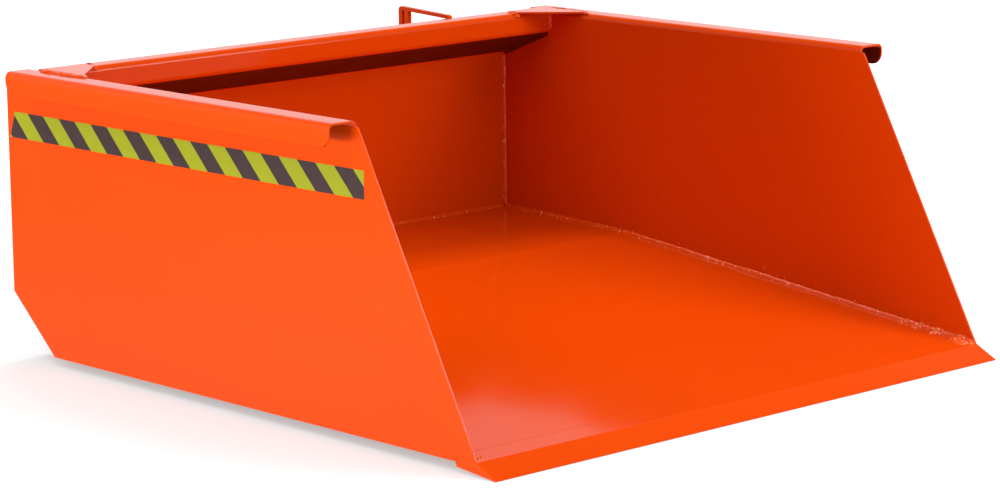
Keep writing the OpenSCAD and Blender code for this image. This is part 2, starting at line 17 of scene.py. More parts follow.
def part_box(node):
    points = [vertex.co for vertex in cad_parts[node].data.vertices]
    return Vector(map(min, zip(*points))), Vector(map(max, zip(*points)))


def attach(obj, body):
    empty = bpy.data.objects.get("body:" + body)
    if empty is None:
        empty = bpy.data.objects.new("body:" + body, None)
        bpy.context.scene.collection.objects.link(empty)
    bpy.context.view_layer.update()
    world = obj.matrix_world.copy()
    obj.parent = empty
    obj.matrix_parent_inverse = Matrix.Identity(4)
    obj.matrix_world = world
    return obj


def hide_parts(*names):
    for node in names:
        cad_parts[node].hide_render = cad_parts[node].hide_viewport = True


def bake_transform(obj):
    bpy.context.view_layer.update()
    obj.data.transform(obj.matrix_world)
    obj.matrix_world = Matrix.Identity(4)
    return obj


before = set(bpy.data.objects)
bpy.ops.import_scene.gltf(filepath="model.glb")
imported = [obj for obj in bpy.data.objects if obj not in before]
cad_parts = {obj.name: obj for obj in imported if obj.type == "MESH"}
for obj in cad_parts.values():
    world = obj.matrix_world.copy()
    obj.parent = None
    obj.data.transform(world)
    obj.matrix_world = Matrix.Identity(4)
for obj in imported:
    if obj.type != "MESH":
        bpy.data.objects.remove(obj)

log = logging.getLogger("bucket")
MM = 0.001
SMOOTH_BELOW = 32.0
SOFTEN_ABOVE = 28.0

Point = tuple[float, float, float]
Colour = tuple[float, float, float, float]
Feeds = Mapping[Union[str, int], object]
BMesh = bmesh.types.BMesh
Material = bpy.types.Material
Node = bpy.types.Node
NodeTree = bpy.types.NodeTree
Object = bpy.types.Object
Socket = bpy.types.NodeSocket
Sockets = bpy.types.bpy_prop_collection

LEFT, RIGHT = (-1, 0, 0), (1, 0, 0)
FRONT, BACK = (0, -1, 0), (0, 1, 0)
DOWN, UP = (0, 0, -1), (0, 0, 1)


class Body(Enum):
    """The frame's rigid bodies."""

    CARRIER = "carrier"
    BUCKET = "bucket"
    LATCH = "latch_lever"
    CLAMP_LEFT = "clamp_left"
    CLAMP_RIGHT = "clamp_right"


class Slot(Enum):
    """The record's material slots."""

    PAINT = "orange_paint"
    ZINC = "zinc_plated"
    BRONZE = "bronze"
    RUBBER = "black_rubber"
    TAPE = "warning_tape"


# ---------------- shader trees


class Graph:
    """A shader tree under construction, with short calls for its nodes and links."""

    COLOUR_A, COLOUR_B, COLOUR_OUT = 6, 7, 2
    VALUE_A, VALUE_B = 2, 3

    def __init__(self, tree: NodeTree) -> None:
        """Takes the tree to work on."""
        self.tree = tree

    def feed(self, node: Node, feeds: Feeds) -> None:
        """Sets or links a node's inputs.

        Args:
            node: The node.
            feeds: A value or a socket for each input, by its name or its place.
        """
        for key, value in feeds.items():
            if isinstance(value, Socket):
                self.tree.links.new(value, node.inputs[key])
            else:
                node.inputs[key].default_value = value

    def add(
        self,
        kind: str,
        feeds: Optional[Feeds] = None,
        **values: object,
    ) -> Node:
        """Adds a node.

        Args:
            kind: The node's type, without its prefix.
            feeds: A value or a socket for each input that isn't left alone.
            **values: The node's properties by name.

        Returns:
            The node.
        """
        made = self.tree.nodes.new("ShaderNode" + kind)
        for name, value in values.items():
            setattr(made, name, value)
        self.feed(made, feeds or {})
        return made

    def place(self) -> Socket:
        """Object coordinates."""
        return self.add("TexCoord").outputs["Object"]

    def noise(
        self, place: Socket, scale: object, detail: float, rough: float = 0.5
    ) -> Socket:
        """Adds a noise over a place.

        Args:
            place: The coordinates.
            scale: Its scale, a number or a socket.
            detail: Its octaves.
            rough: How much the small octaves count.

        Returns:
            Its factor.
        """
        feeds = {"Vector": place, "Scale": scale, "Detail": detail, "Roughness": rough}
        return self.add("TexNoise", feeds, noise_dimensions="3D").outputs["Fac"]

    def span(
        self,
        value: Socket,
        source: tuple[float, float],
        target: tuple[object, object] = (0.0, 1.0),
        smooth: bool = False,
    ) -> Socket:
        """Maps one range onto another.

        Args:
            value: What is mapped.
            source: The range that it comes from.
            target: The range that it goes to, as numbers or sockets.
            smooth: Whether it starts and ends softly.

        Returns:
            The mapped value.
        """
        names = ("From Min", "From Max", "To Min", "To Max")
        feeds = {"Value": value, **dict(zip(names, (*source, *target)))}
        way = "SMOOTHSTEP" if smooth else "LINEAR"
        return self.add("MapRange", feeds, interpolation_type=way).outputs["Result"]

    def calc(self, operation: str, *values: object) -> Socket:
        """Adds a Math node.

        Args:
            operation: What it does.
            *values: Its inputs, as numbers or sockets.

        Returns:
            The result.
        """
        return self.add("Math", dict(enumerate(values)), operation=operation).outputs[0]

    def blend(self, share: object, first: object, second: object) -> Socket:
        """Mixes two colours.

        Args:
            share: How much the second colour counts.
            first: The first colour.
            second: The second colour.

        Returns:
            The mixed colour.
        """
        feeds = {"Factor": share, self.COLOUR_A: first, self.COLOUR_B: second}
        return self.add("Mix", feeds, data_type="RGBA").outputs[self.COLOUR_OUT]


def start_group(
    name: str, inputs: Mapping[str, object]
) -> tuple[Graph, Sockets, Node]:
    """Starts a shader group that gives a colour, a roughness and a height.

    Args:
        name: The group's name.
        inputs: The default values of its inputs; one of four parts is a colour.

    Returns:
        The graph, the sockets that the group is given, and its output node.
    """
    tree = bpy.data.node_groups.new(name, "ShaderNodeTree")
    kinds = {float: "NodeSocketFloat", tuple: "NodeSocketColor"}
    for label, value in inputs.items():
        socket = tree.interface.new_socket(
            name=label, in_out="INPUT", socket_type=kinds[type(value)]
        )
        socket.default_value = value
    for label, kind in (("Color", tuple), ("Roughness", float), ("Height", float)):
        tree.interface.new_socket(name=label, in_out="OUTPUT", socket_type=kinds[kind])
    given = tree.nodes.new("NodeGroupInput").outputs
    return Graph(tree), given, tree.nodes.new("NodeGroupOutput")


def sprayed_film_group() -> NodeTree:
    """Sprayed paint: thick and thin places, uneven gloss, orange peel and a slow swell.

    Returns:
        The group.
    """
    inputs = {
        "Paint": (0.9, 0.06, 0.004, 1),
        "Thin Paint": (0.8, 0.05, 0.004, 1),
        "Gloss Low": 0.2,
        "Gloss High": 0.3,
        "Peel Scale": 300.0,
    }
    g, given, result = start_group("SprayedFilm", inputs)
    place = g.place()
    cloud = g.noise(place, 3.2, 4.0, 0.55)
    smear = g.noise(place, 11.0, 3.0)
    peel = g.noise(place, given["Peel Scale"], 1.5, 0.4)
    swell = g.noise(place, 6.0, 1.0)
    made = {
        "Color": g.blend(cloud, given["Thin Paint"], given["Paint"]),
        "Roughness": g.span(smear, (0.3, 0.7), (given["Gloss Low"], given["Gloss High"])),
        "Height": g.calc("MULTIPLY_ADD", swell, 6.0, peel),
    }
    g.feed(result, made)
    return g.tree


def worn_metal_group() -> NodeTree:
    """Plated metal or moulded rubber: dull clouds and fine streaks.

    Returns:
        The group.
    """
    inputs = {
        "Bright": (0.6, 0.6, 0.6, 1),
        "Dull": (0.4, 0.4, 0.4, 1),
        "Grain": 120.0,
        "Rough Low": 0.25,
        "Rough High": 0.45,
    }
    g, given, result = start_group("WornMetal", inputs)
    place = g.place()
    cloud = g.noise(place, 45.0, 5.0)
    drawn = g.add("Mapping", {"Vector": place, "Scale": (0.15, 1.0, 1.0)}).outputs["Vector"]
    made = {
        "Color": g.blend(cloud, given["Dull"], given["Bright"]),
        "Roughness": g.span(cloud, (0.3, 0.7), (given["Rough Low"], given["Rough High"])),
        "Height": g.noise(drawn, given["Grain"], 3.0),
    }
    g.feed(result, made)
    return g.tree


# ---------------- finishes


@dataclass(frozen=True)
class Finish:
    """What every finish shares: a name, and a way to start and to end its material."""

    name: str

    def start(self) -> tuple[Material, Graph]:
        """Makes a material with one Principled shader.

        Returns:
            The material and its graph.
        """
        material = bpy.data.materials.new(self.name)
        material.use_nodes = True
        return material, Graph(material.node_tree)

    @staticmethod
    def end(
        g: Graph,
        colour: Socket,
        rough: object,
        height: Socket,
        bump: tuple[float, float],
        **constants: float,
    ) -> None:
        """Feeds the material's shader.

        Args:
            g: The material's graph.
            colour: The base colour.
            rough: The roughness, a number or a socket.
            height: What the bump raises.
            bump: The bump's strength, and its distance in metres.
            **constants: More of the shader's inputs by name.
        """
        shader = next(n for n in g.tree.nodes if n.type == "BSDF_PRINCIPLED")
        raised = g.add("Bump", {"Strength": bump[0], "Distance": bump[1], "Height": height})
        made = {"Base Color": colour, "Roughness": rough, "Normal": raised.outputs["Normal"]}
        g.feed(shader, {**made, **constants})


@dataclass(frozen=True)
class PaintFinish(Finish):
    """Orange powder coat on sheet steel."""

    paint: Colour = (0.73, 0.06, 0.001, 1)
    thin_paint: Colour = (0.7, 0.056, 0.0009, 1)
    gloss: tuple[float, float] = (0.08, 0.12)
    peel: float = 320.0
    ior: float = 1.24
    bump: tuple[float, float] = (0.1, 0.2 * MM)

    def tint(self, g: Graph, colour: Socket) -> Socket:
        """What the shader shows of the film's colour, which is all of it on plain sheet.

        Args:
            g: The material's graph.
            colour: The film's colour.

        Returns:
            The colour.
        """
        return colour

    def build(self, film: NodeTree) -> Material:
        """Builds the material from the sprayed film group."""
        material, g = self.start()
        feeds = {
            "Paint": self.paint,
            "Thin Paint": self.thin_paint,
            "Gloss Low": self.gloss[0],
            "Gloss High": self.gloss[1],
            "Peel Scale": self.peel,
        }
        coat = g.add("Group", feeds, node_tree=film).outputs
        colour = self.tint(g, coat["Color"])
        self.end(g, colour, coat["Roughness"], coat["Height"], self.bump, IOR=self.ior)
        return material


@dataclass(frozen=True)
class BeadFinish(PaintFinish):
    """Powder coat over rough weld metal: glossy, in a paint a little lighter than the sheets' that
    lifts the beads as painted light, with pale spots that are painted glints.
    """

    paint: Colour = (0.8, 0.07, 0.002, 1)
    thin_paint: Colour = (0.8, 0.07, 0.002, 1)
    gloss: tuple[float, float] = (0.05, 0.12)
    peel: float = 900.0
    ior: float = 1.3
    bump: tuple[float, float] = (0.2, 0.2 * MM)
    # pale is the colour of the painted glints, and the three sizes below place and scale them
    pale: Colour = (1.0, 0.42, 0.2, 1)
    glint_from: float = 0.53
    glint_fade: float = 0.12
    glint_scale: float = 260.0

    def tint(self, g: Graph, colour: Socket) -> Socket:
        """Adds the pale spots, painted glints, to the film's colour."""
        # painted glints: a noise picks small pale spots that stand in for lamp highlights
        glint_noise = g.noise(g.place(), self.glint_scale, 2.0)
        share = g.span(glint_noise, (self.glint_from, self.glint_from + self.glint_fade))
        return g.blend(share, colour, self.pale)


@dataclass(frozen=True)
class WornFinish(Finish):
    """Zinc plate, bronze or rubber: bright and dull clouds with a fine grain."""

    bright: Colour
    dull: Colour
    rough: tuple[float, float] = (0.25, 0.42)
    grain: float = 140.0
    metallic: float = 1.0
    bump: tuple[float, float] = (0.15, 0.2 * MM)

    def build(self, worn: NodeTree) -> Material:
        """Builds the material from the worn metal group."""
        material, g = self.start()
        feeds = {
            "Bright": self.bright,
            "Dull": self.dull,
            "Grain": self.grain,
            "Rough Low": self.rough[0],
            "Rough High": self.rough[1],
        }
        face = g.add("Group", feeds, node_tree=worn).outputs
        self.end(
            g, face["Color"], face["Roughness"], face["Height"], self.bump, Metallic=self.metallic
        )
        return material


@dataclass(frozen=True)
class TapeFinish(Finish):
    """Reflective warning tape with stripes at 45 degrees.

    stripe_start is where a light stripe begins along Y - Z; stripe_pair is the length that a
    light and a dark stripe take up together.
    """

    light: Colour = (0.3, 0.32, 0.008, 1)
    dark: Colour = (0.05, 0.029, 0.029, 1)
    stripe_start: float = 39.8 * MM
    stripe_pair: float = 100.4 * MM
    whole_pairs: float = 20.0
    light_wear: float = 0.88
    dark_wear: float = 0.75

    def build(self) -> Material:
        """Builds the striped material on object coordinates."""
        material, g = self.start()
        place = g.place()
        split = g.add("SeparateXYZ", {0: place}).outputs
        across = g.calc("SUBTRACT", split["Y"], split["Z"])
        shift = self.whole_pairs - self.stripe_start / self.stripe_pair
        phase = g.calc("MULTIPLY_ADD", across, 1.0 / self.stripe_pair, shift)
        stripe = g.calc("LESS_THAN", g.calc("FRACT", phase), 0.5)
        tint = g.noise(place, 60.0, 4.0)
        shades = []
        for colour, wear in ((self.light, self.light_wear), (self.dark, self.dark_wear)):
            worn = tuple(c * wear for c in colour[:3]) + (1,)
            shades.append(g.blend(tint, colour, worn))
        cells = g.add("TexVoronoi", {"Vector": place, "Scale": 420.0}).outputs["Distance"]
        self.end(g, g.blend(stripe, *shades), 0.38, cells, (0.12, 0.2 * MM), IOR=1.3)
        return material


@dataclass
class PaintShop:
    """Builds every finish once and hands it out by slot."""

    materials: dict[Slot, Material] = field(default_factory=dict)
    bead_coat: Optional[Material] = None
    crust_coat: Optional[Material] = None
    # a near-black paint that paints shade in the recesses
    recess_shade_coat: Optional[Material] = None

    def open(self) -> None:
        """Builds the groups and the materials."""
        film = sprayed_film_group()
        worn = worn_metal_group()
        # both bead coats carry painted glints as pale spots
        self.bead_coat = BeadFinish("powder_coat_on_beads_with_painted_glints", glint_from=0.62, glint_scale=150.0).build(film)
        self.crust_coat = BeadFinish("powder_coat_on_spatter_with_painted_glints").build(film)
        # painted shade: a near-black, dull paint for the faces under the nose, in the rim channels
        # and on the roof beads
        self.recess_shade_coat = PaintFinish(
            "painted_shade_in_recess",
            paint=(0.15, 0.018, 0.001, 1),
            thin_paint=(0.12, 0.014, 0.001, 1),
            gloss=(0.5, 0.6),
            ior=1.1,
        ).build(film)
        self.materials = {
            Slot.PAINT: PaintFinish("orange_powder_coat").build(film),
            Slot.ZINC: WornFinish(
                "bright_zinc", bright=(0.62, 0.64, 0.67, 1), dull=(0.46, 0.48, 0.5, 1)
            ).build(worn),
            Slot.BRONZE: WornFinish(
                "bearing_bronze", bright=(0.62, 0.4, 0.16, 1), dull=(0.45, 0.27, 0.1, 1)
            ).build(worn),
            Slot.RUBBER: WornFinish(
                "pad_rubber",
                bright=(0.022, 0.021, 0.02, 1),
                dull=(0.034, 0.032, 0.03, 1),
                rough=(0.7, 0.85),
                grain=700.0,
                metallic=0.0,
                bump=(0.3, 0.3 * MM),
            ).build(worn),
            Slot.TAPE: TapeFinish("hazard_tape").build(),
        }
        log.info("finishes: %s", ", ".join(m.name for m in self.materials.values()))

    def coat(self, obj: Object, slot: Slot) -> None:
        """Gives an object the finish of a slot."""
        obj.data.materials.clear()
        obj.data.materials.append(self.materials[slot])


# ---------------- workshop


def show(name: str, data: bpy.types.ID) -> Object:
    """Puts an object into the scene.

    Args:
        name: Its name.
        data: Its mesh, lamp or camera.

    Returns:
        The object.
    """
    shown = bpy.data.objects.new(name, data)
    bpy.context.scene.collection.objects.link(shown)
    return shown


def show_mesh(name: str, mesh: BMesh) -> Object:
    """Puts a mesh into the scene as an object of its own, and frees it."""
    data = bpy.data.meshes.new(name)
    mesh.to_mesh(data)
    mesh.free()
    return show(name, data)


@dataclass
class Workshop:
    """Turns meshes into finished pieces that ride on the frame."""

    paints: PaintShop

    def finish_piece(
        self,
        name: str,
        mesh: BMesh,
        body: Optional[Body],
        slot: Slot,
        stands_for: Sequence[str] = (),
        smooth_to: float = SMOOTH_BELOW,
    ) -> Object:
        """Makes an object of a mesh, shades it, coats it and puts it on its body.

        Args:
            name: The piece's name.
            mesh: The mesh, in the frame's own axes; it is freed.
            body: The body that the piece rides on, or None for a piece that rides on none.
            slot: The finish.
            stands_for: The frame's nodes that the piece replaces.
            smooth_to: The angle in degrees below which an edge is smooth.

        Returns:
            The object.
        """
        for face in mesh.faces:
            face.smooth = True
        limit = math.radians(smooth_to)
        for edge in mesh.edges:
            edge.smooth = edge.is_manifold and edge.calc_face_angle(0.0) < limit
        piece = show_mesh(name, mesh)
        self.paints.coat(piece, slot)
        weigh = piece.modifiers.new("face_weight", "WEIGHTED_NORMAL")
        weigh.mode = "FACE_AREA"
        weigh.weight = 50
        weigh.keep_sharp = True
        if body:
            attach(piece, body.value)
        if stands_for:
            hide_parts(*stands_for)
        where = body.value if body else "two bodies"
        log.info("%s: %d faces on %s", name, len(piece.data.polygons), where)
        return piece

    @staticmethod
    def copy_node(node: str) -> BMesh:
        """Copies a frame node's mesh, merged and with its flat faces joined.

        Args:
            node: The node's name.

        Returns:
            The copy.
        """
        mesh = bmesh.new()
        mesh.from_mesh(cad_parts[node].data)
        bmesh.ops.remove_doubles(mesh, verts=mesh.verts, dist=0.01 * MM)
        bmesh.ops.dissolve_limit(
            mesh,
            angle_limit=math.radians(0.5),
            use_dissolve_boundaries=False,
            verts=mesh.verts,
            edges=mesh.edges,
        )
        return mesh

    @staticmethod
    def soften(mesh: BMesh, width: float, sharper_than: float = SOFTEN_ABOVE) -> None:
        """Bevels the sharp edges of a mesh.

        Args:
            mesh: The mesh.
            width: The bevel's width in metres.
            sharper_than: The angle in degrees above which an edge is bevelled.
        """
        limit = math.radians(sharper_than)
        sharp = [e for e in mesh.edges if e.is_manifold and e.calc_face_angle(0.0) > limit]
        bmesh.ops.bevel(
            mesh,
            geom=sharp,
            offset=width,
            offset_type="OFFSET",
            segments=2,
            profile=0.5,
            affect="EDGES",
            material=-1,
            clamp_overlap=True,
        )

    def dress_node(
        self, node: str, body: Body, slot: Slot, width: float, crease: float = SOFTEN_ABOVE
    ) -> Object:
        """Replaces a frame node with a copy whose edges are softened.

        Args:
            node: The node's name.
            body: The body that it rides on.
            slot: The finish.
            width: The width of the softened edges in metres.
            crease: The angle in degrees above which an edge is softened.

        Returns:
            The piece.
        """
        mesh = self.copy_node(node)
        before = mesh.calc_volume()
        self.soften(mesh, width, crease)
        after = mesh.calc_volume()
        if not 0.9 < after / before < 1.02:
            log.warning("%s: volume went from %.3g to %.3g", node, before, after)
        smooth_to = min(SMOOTH_BELOW, crease + 4.0)
        return self.finish_piece(node + "_dressed", mesh, body, slot, (node,), smooth_to)


def place_along(start: Vector, way: Vector) -> Matrix:
    """Matrix that puts the origin at a place and lays local +Z along a direction.

    Args:
        start: The place.
        way: The direction.

    Returns:
        The matrix.
    """
    return Matrix.Translation(start) @ way.to_track_quat("Z", "Y").to_matrix().to_4x4()


def sweep(
    mesh: BMesh,
    geom: list,
    steps: int,
    step: Sequence[float] = (0, 0, 0),
    angle: float = 0.0,
    closed: bool = False,
) -> None:
    """Sweeps verts and edges about local Z and along a direction.

    Args:
        mesh: Their mesh.
        geom: The verts and the edges.
        steps: The count of steps.
        step: How far they move in one step.
        angle: How far they turn in all.
        closed: Whether the last step meets the first.
    """
    bmesh.ops.spin(
        mesh,
        geom=geom,
        cent=(0, 0, 0),
        axis=(0, 0, 1),
        dvec=step,
        angle=angle,
        steps=steps,
        use_merge=closed,
    )


def capped_rod(
    mesh: BMesh,
    radius: float,
    ends: tuple[float, float],
    cap: Sequence[tuple[float, float]],
    place: Matrix,
    steps: int = 40,
) -> None:
    """Turns a rod with two like ends about local Z and adds it to a mesh.

    Args:
        mesh: The mesh that gets the rod.
        radius: The rod's radius.
        ends: The heights of its two ends.
        cap: For each turn of an end's profile, its step in from the radius and from the end.
        place: Where local space lies.
        steps: Steps round the axis.
    """
    low, high = ends
    profile = [(radius - inward, low + deep) for inward, deep in cap]
    profile += [(radius - inward, high - deep) for inward, deep in reversed(cap)]
    made = bmesh.new()
    points = [made.verts.new((r, 0.0, h)) for r, h in profile]
    edges = [made.edges.new(pair) for pair in zip(points, points[1:])]
    sweep(made, points + edges, steps, angle=math.tau, closed=True)
    bmesh.ops.remove_doubles(made, verts=made.verts, dist=0.002 * MM)
    add_mesh(mesh, made, place)


def add_mesh(target: BMesh, extra: BMesh, place: Matrix) -> None:
    """Turns a mesh's faces outwards, moves it, adds it to another and frees it.

    Args:
        target: The mesh that gets it.
        extra: The mesh that is added.
        place: Where the added mesh's own space lies.
    """
    bmesh.ops.recalc_face_normals(extra, faces=extra.faces)
    bmesh.ops.transform(extra, matrix=place, verts=extra.verts)
    data = bpy.data.meshes.new("joining")
    extra.to_mesh(data)
    extra.free()
    target.from_mesh(data)
    bpy.data.meshes.remove(data)


# ---------------- welds


@dataclass(frozen=True)
class WeldBead:
    """A rippled fillet weld in a corner, from start to end.

    side_a and side_b point away from the corner along the two plates that it joins; leg and rise
    are its reach along each, and without a rise both reach as far as leg. arc is the count of
    facets across it, hollow how far its face is drawn in, and wave how high its ripples are.
    """

    start: Point
    end: Point
    side_a: Point
    side_b: Point
    leg: float
    rise: float = 0.0
    ripple: float = 6.0 * MM
    rough: float = 0.14
    arc: int = 5
    hollow: float = 0.14
    wave: float = 0.09
    lumps: tuple[tuple[float, float], ...] = ((230.0, 1.0), (60.0, 1.3))

    def lay(self, mesh: BMesh) -> None:
        """Adds the bead to a mesh.

        Args:
            mesh: The mesh that gets the bead.
        """
        start, end = Vector(self.start), Vector(self.end)
        along = (end - start).normalized()
        length = (end - start).length
        a, b = Vector(self.side_a).normalized(), Vector(self.side_b).normalized()
        rise = self.rise or self.leg
        stations = max(8, int(length / (self.ripple / 4)))
        made = bmesh.new()
        ring = [made.verts.new((0.0, 0.0, 0.0))]
        for i in range(self.arc + 1):
            turn = math.pi / 2 * i / self.arc
            slack = 1.0 - self.hollow * math.sin(2 * turn)
            reach = a * self.leg * math.cos(turn) + b * rise * math.sin(turn)
            ring.append(made.verts.new(reach * slack))
        edges = [made.edges.new(pair) for pair in zip(ring, ring[1:] + ring[:1])]
        sweep(made, ring + edges, stations, along * (length / stations))
        for vert in made.verts:
            s = vert.co.dot(along)
            radial = vert.co - along * s
            if radial.length < 0.01 * self.leg:
                continue
            bulge = min(radial.dot(a) / self.leg, radial.dot(b) / rise)
            place = start + vert.co
            swell = 1.0 + self.wave * math.sin(
                math.tau * (s + 2.4 * bulge * self.leg) / self.ripple
            )
            for scale, share in self.lumps:
                swell += self.rough * share * noise.noise(place * scale)
            near_end = min(s, length - s) / (self.leg * 1.3)
            if near_end < 1.0:
                swell *= math.sqrt(max(0.02, 1.0 - (1.0 - near_end) ** 2))
            vert.co = along * s + radial * swell
        bmesh.ops.holes_fill(made, edges=made.edges, sides=self.arc + 4)
        add_mesh(mesh, made, Matrix.Translation(start))


class Corner(NamedTuple):
    """A corner of a node's box."""

    x: float
    y: float
    z: float


def corners(node: str) -> tuple[Corner, Corner]:
    """The low and the high corner of a node's box, to a tenth of a millimetre.

    Args:
        node: The node's name.

    Returns:
        The two corners.
    """
    low, high = (Corner(*(round(v, 4) for v in corner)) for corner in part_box(node))
    return low, high


@dataclass
class WeldSeams:
    """All the visible welds of the scoop and of the carrier.

    fold_y and fold_h place the fold in the floor's upper face, which falls by slope towards the
    mouth and rises by rear_slope behind. The roof's lower face starts at roof_foot at the rear,
    rises by roof_slope and meets the nose's front at nose_foot; ear_rise is how much higher the
    front of the latch's ears stands than their rear. blade_seam_h is the height of the blade's
    seam. Each patch is a distance from the fold and a length, along the floor. The other sizes
    are the frame's own.
    """

    fold_y: float = 271.5 * MM
    fold_h: float = 118.9 * MM
    slope: float = 0.098935
    roof_foot: float = 468.0 * MM
    roof_slope: float = 0.3913
    nose_foot: float = 525.0 * MM
    rear_slope: float = 11.0 / 362.0
    ear_rise: float = 18.7 * MM
    roof_below: Point = (0, -0.37, -0.93)
    blade_seam_h: float = 14.9 * MM
    blade_back: Point = (0, 0.995, 0.098)
    blade_below: Point = (0, -0.09, -0.98)
    inset: float = 1.5 * MM
    patches: tuple[tuple[float, float], ...] = (
        (0.77, 0.024),
        (0.806, 0.03),
        (0.849, 0.034),
        (0.9, 0.056),
    )
    patch_layers: int = 4
    spatter_a_side: int = 220
    half_w: float = field(init=False)
    inner_x: float = field(init=False)
    front_y: float = field(init=False)
    rear_y: float = field(init=False)
    rim_h: float = field(init=False)
    nose_y: float = field(init=False)

    def __post_init__(self) -> None:
        """Takes the scoop's main places from the frame."""
        low, high = corners("side_plate_right")
        self.half_w = corners("warning_tape_right")[0].x
        self.inner_x, self.front_y = low.x, low.y
        self.rear_y, self.rim_h = high.y, high.z
        self.nose_y = corners("rear_wall")[0].y

    @property
    def sheet(self) -> float:
        """The thickness of the side sheets."""
        return self.half_w - self.inner_x

    @property
    def up(self) -> Point:
        """The direction square to the floor's front part."""
        return (0, -self.slope, 1)

    def floor_z(self, y: float) -> float:
        """Height of the floor's upper face at a place along Y."""
        if y <= self.fold_y:
            return self.fold_h - (self.fold_y - y) * self.slope
        return self.fold_h + (y - self.fold_y) * self.rear_slope

    def scoop(self) -> list[WeldBead]:
        """The seams between the scoop's sheets, and the one between its floor and its blade.

        Returns:
            The beads.
        """
        rear = self.rear_y - self.sheet
        foot = self.floor_z(rear)
        front = self.front_y + 2.7 * MM
        beads: list[WeldBead] = []
        for side in (-1, 1):
            x = side * self.inner_x
            fold = (x, self.fold_y, self.fold_h)
            mouth = (x, front, self.floor_z(front))
            corner = (x, rear, foot)
            under_roof = (x, rear, self.roof_foot - 5 * MM)
            nose = (x, self.nose_y, self.nose_foot + 3 * MM)
            rim = (x, self.nose_y, self.rim_h - 5.5 * MM)
            inward = (-side, 0, 0)
            beads += [
                WeldBead(corner, fold, inward, (0, self.rear_slope, 1), 6.5 * MM),
                WeldBead(fold, mouth, inward, self.up, 6.5 * MM),
                WeldBead(corner, under_roof, inward, FRONT, 5.5 * MM),
                WeldBead(nose, rim, inward, FRONT, 4.5 * MM),
            ]
        x = self.inner_x - 5 * MM
        beads.append(WeldBead((-x, rear, foot), (x, rear, foot), FRONT, UP, 6 * MM))
        blade_rear = corners("blade")[1]
        x, y, z = self.half_w - 0.2 * MM, blade_rear.y - 0.4 * MM, self.blade_seam_h
        ways = self.blade_back, self.blade_below
        beads.append(WeldBead((-x, y, z), (x, y, z), *ways, 8 * MM, 4 * MM))
        return beads

    def crust(self) -> list[WeldBead]:
        """The rough patches on the floor beside the front ends of the side seams.

        Returns:
            The patches, as short rough beads that lie in layers.
        """
        beads: list[WeldBead] = []
        down = Vector((0, -1, -self.slope)).normalized()
        fold = Vector((0, self.fold_y, self.fold_h))
        for side in (-1, 1):
            inward = Vector((-side, 0, 0))
            corner = fold - inward * self.inner_x
            for place, long in self.patches:
                for i in range(self.patch_layers):
                    first = corner + down * (place + 3 * MM * i) + inward * (6 * MM * i)
                    last = first + down * (long - 6 * MM * i)
                    rise = 8 * MM - 1.6 * MM * i
                    ends = tuple(first), tuple(last)
                    beads.append(
                        WeldBead(*ends, tuple(inward), self.up, 9 * MM, rise, 5 * MM, 0.7)
                    )
        return beads

    def roof(self) -> list[WeldBead]:
        """The seams under the nose.

        Returns:
            The beads.
        """
        rear, front = self.rear_y - 6.5 * MM, self.nose_y + 5.5 * MM
        low = self.roof_foot - 3.5 * MM
        high = low + (rear - front) * self.roof_slope
        return [
            WeldBead(
                (side * self.inner_x, rear, low),
                (side * self.inner_x, front, high),
                (-side, 0, 0),
                self.roof_below,
                4 * MM,
            )
            for side in (-1, 1)
        ]

    def gussets(self) -> list[WeldBead]:
        """The fat beads along the corner gussets.

        Returns:
            The beads.
        """
        low, high = corners("gusset_right")
        top, rise, ripple = low.z, 4.6 * MM, 6 * MM
        beads: list[WeldBead] = []
        for side in (-1, 1):
            out, inward = (side, 0, 0), (-side, 0, 0)
            edge, tip = side * high.x, side * low.x
            along_rim = (edge, high.y - 4 * MM, top), (edge, low.y, top)
            at_front = (edge + side * 2 * MM, low.y, top), (edge - side * 11 * MM, low.y, top)
            at_tip = (tip, self.nose_y - 1 * MM, top), (tip, high.y, top)
            y = self.nose_y + 2 * MM
            on_nose = (
                (tip - side * 8 * MM, y, top - 6 * MM),
                (tip + side * 10 * MM, y, top - 4 * MM),
            )
            beads += [
                WeldBead(*along_rim, out, UP, 9.5 * MM, rise, 8 * MM, 0.2),
                WeldBead(*at_front, FRONT, UP, 8.5 * MM, rise, ripple, 0.3),
                WeldBead(*at_tip, inward, UP, 8 * MM, rise, ripple, 0.3),
                WeldBead(*on_nose, FRONT, UP, 6 * MM, 6 * MM, ripple, 0.3),
            ]
        return beads

    def underside(self) -> list[WeldBead]:
        """The seams of the ribs and the lugs under the floor.

        Returns:
            The beads.
        """
        beads: list[WeldBead] = []
        below = (0, self.slope, -1)
        drop = self.sheet * math.hypot(1.0, self.slope)
        for node in ("runner_rib_right", "hinge_lug_right"):
            low, high = corners(node)
            y0, y1 = high.y - self.inset, low.y + self.inset
            z0, z1 = self.floor_z(y0) - drop, self.floor_z(y1) - drop
            for side in (-1, 1):
                for x, face in ((side * low.x, -side), (side * high.x, side)):
                    beads.append(WeldBead((x, y0, z0), (x, y1, z1), (face, 0, 0), below, 5 * MM))
        return beads

